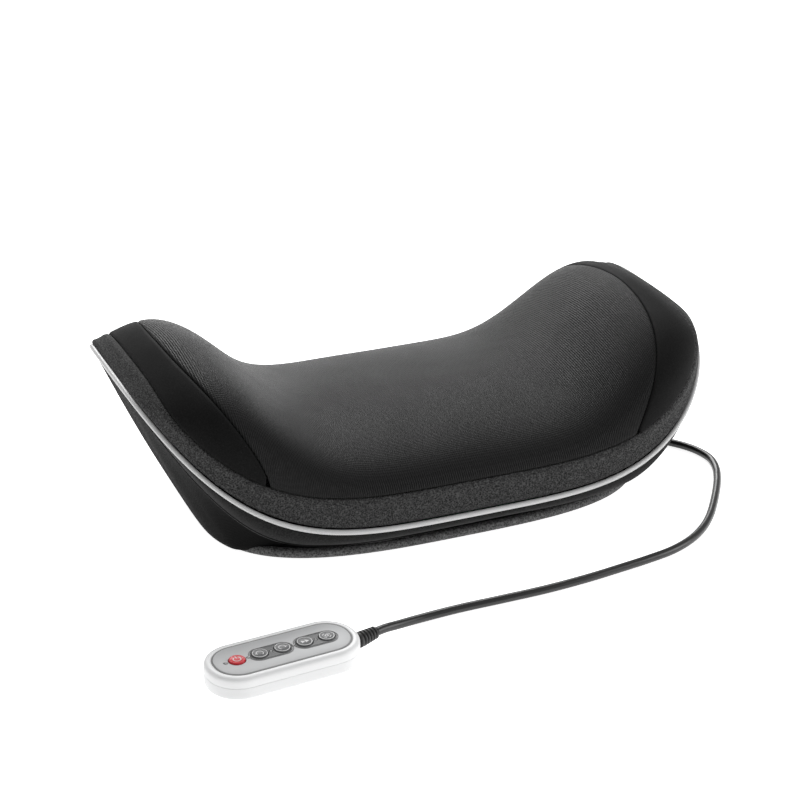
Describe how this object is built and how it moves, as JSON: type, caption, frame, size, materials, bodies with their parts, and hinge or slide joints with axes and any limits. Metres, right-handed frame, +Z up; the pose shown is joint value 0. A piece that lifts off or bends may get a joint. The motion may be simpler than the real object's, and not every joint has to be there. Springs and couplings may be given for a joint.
{
  "type": "shiatsu neck massager",
  "caption": "Saddle-shaped kneading neck pillow with ribbed mesh front, piped edge, padded belt panel and a corded handset with keys.",
  "frame": {"origin": "on the belt panel's flat resting face, under the pillow's widest line and mid-way between its ends", "axes": "+X along the pillow towards the end that the handset cord leaves, +Y towards the pillow's rear edge, +Z up from the resting face towards the ribbed front"},
  "size_m": [0.4191, 0.3252, 0.1232],
  "materials": {
    "mesh_fabric": "fine ribbed spacer mesh, soft sheen",
    "plain_fabric": "smooth tight knit, matte",
    "band_fabric": "felted knit with a speckled nap",
    "silver_piping": "silver grey reflective ribbon",
    "panel_fabric": "padded fine weave",
    "strap_webbing": "woven elastic webbing",
    "foam": "open cell foam",
    "black_plastic": "fine textured moulding",
    "grey_plastic": "fine textured moulding",
    "nylon": "natural nylon",
    "steel": "turned and ground",
    "bronze": "sintered bronze",
    "node_rubber": "soft matte rubber",
    "heat_lens": "translucent red",
    "circuit_board": "solder mask over glass laminate",
    "handset_white": "satin white moulding",
    "face_grey": "printed film, satin",
    "power_red": "satin red",
    "key_grey": "satin grey",
    "light_guide": "clear moulded light guide",
    "cord_black": "smooth glossy jacket"
  },
  "bodies": {
    "root": {"back_panel": "panel_fabric", "back_panel_binding": "strap_webbing", "strap_left": "strap_webbing", "strap_right": "strap_webbing", "rear_shell": "black_plastic", "edge_piping": "silver_piping", "border_band": "band_fabric", "mesh_panel": "mesh_fabric", "side_panel_left": "plain_fabric", "side_panel_right": "plain_fabric", "foam_bolster_left": "foam", "foam_bolster_right": "foam", "chassis_plate": "grey_plastic", "gearbox_lower": "black_plastic", "gearbox_upper": "black_plastic", "motor_can": "steel", "motor_end_cap": "black_plastic", "worm_bush": "bronze", "control_board": "circuit_board", "power_jack": "black_plastic", "cord_gland": "cord_black", "handset_base": "handset_white", "handset_top": "handset_white", "face_plate": "face_grey", "light_guide": "light_guide", "handset_board": "circuit_board", "strain_relief": "cord_black", "handset_cord": "cord_black", "gearbox_screw_1": "steel", "chassis_screw_1": "steel", "gearbox_screw_2": "steel", "chassis_screw_2": "steel", "gearbox_screw_3": "steel", "chassis_screw_3": "steel", "gearbox_screw_4": "steel", "chassis_screw_4": "steel", "handset_screw_1": "steel", "handset_screw_2": "steel", "head_bush_left_lower": "bronze", "head_bush_left_upper": "bronze", "head_bush_right_lower": "bronze", "head_bush_right_upper": "bronze"},
    "head_left": {"worm_wheel_left": "nylon", "head_shaft_left": "steel", "head_carrier_left": "grey_plastic", "node_large_left": "node_rubber", "node_small_left": "node_rubber", "heat_lens_left": "heat_lens"},
    "head_right": {"worm_wheel_right": "nylon", "head_shaft_right": "steel", "head_carrier_right": "grey_plastic", "node_large_right": "node_rubber", "node_small_right": "node_rubber", "heat_lens_right": "heat_lens"},
    "worm": {"worm_shaft": "steel"},
    "power_key": {"power_key": "power_red"},
    "mode_key_1": {"mode_key_1": "key_grey"},
    "mode_key_2": {"mode_key_2": "key_grey"},
    "mode_key_3": {"mode_key_3": "key_grey"},
    "mode_key_4": {"mode_key_4": "key_grey"}
  },
  "joints": [
    {"name": "left_head_spin", "type": "hinge", "parent": "root", "child": "head_left", "pos_m": [-0.056, -0.053, 0.032], "axis": [0, 0, 1], "continuous": true},
    {"name": "right_head_spin", "type": "hinge", "parent": "root", "child": "head_right", "pos_m": [0.056, -0.053, 0.032], "axis": [0, 0, 1], "continuous": true},
    {"name": "worm_spin", "type": "hinge", "parent": "root", "child": "worm", "pos_m": [0, -0.053, 0.032], "axis": [0, 1, 0], "continuous": true},
    {"name": "power_key_press", "type": "slide", "parent": "root", "child": "power_key", "axis": [0, 0, -1], "range_m": [0, 0.0008], "stiffness_N_per_m": 400, "springref_m": -0.0005},
    {"name": "mode_key_1_press", "type": "slide", "parent": "root", "child": "mode_key_1", "axis": [0, 0, -1], "range_m": [0, 0.0008], "stiffness_N_per_m": 400, "springref_m": -0.0005},
    {"name": "mode_key_2_press", "type": "slide", "parent": "root", "child": "mode_key_2", "axis": [0, 0, -1], "range_m": [0, 0.0008], "stiffness_N_per_m": 400, "springref_m": -0.0005},
    {"name": "mode_key_3_press", "type": "slide", "parent": "root", "child": "mode_key_3", "axis": [0, 0, -1], "range_m": [0, 0.0008], "stiffness_N_per_m": 400, "springref_m": -0.0005},
    {"name": "mode_key_4_press", "type": "slide", "parent": "root", "child": "mode_key_4", "axis": [0, 0, -1], "range_m": [0, 0.0008], "stiffness_N_per_m": 400, "springref_m": -0.0005}
  ],
  "couplings": [
    {"joint": "right_head_spin", "follows": "left_head_spin", "ratio": -1},
    {"joint": "worm_spin", "follows": "left_head_spin", "ratio": 30}
  ]
}
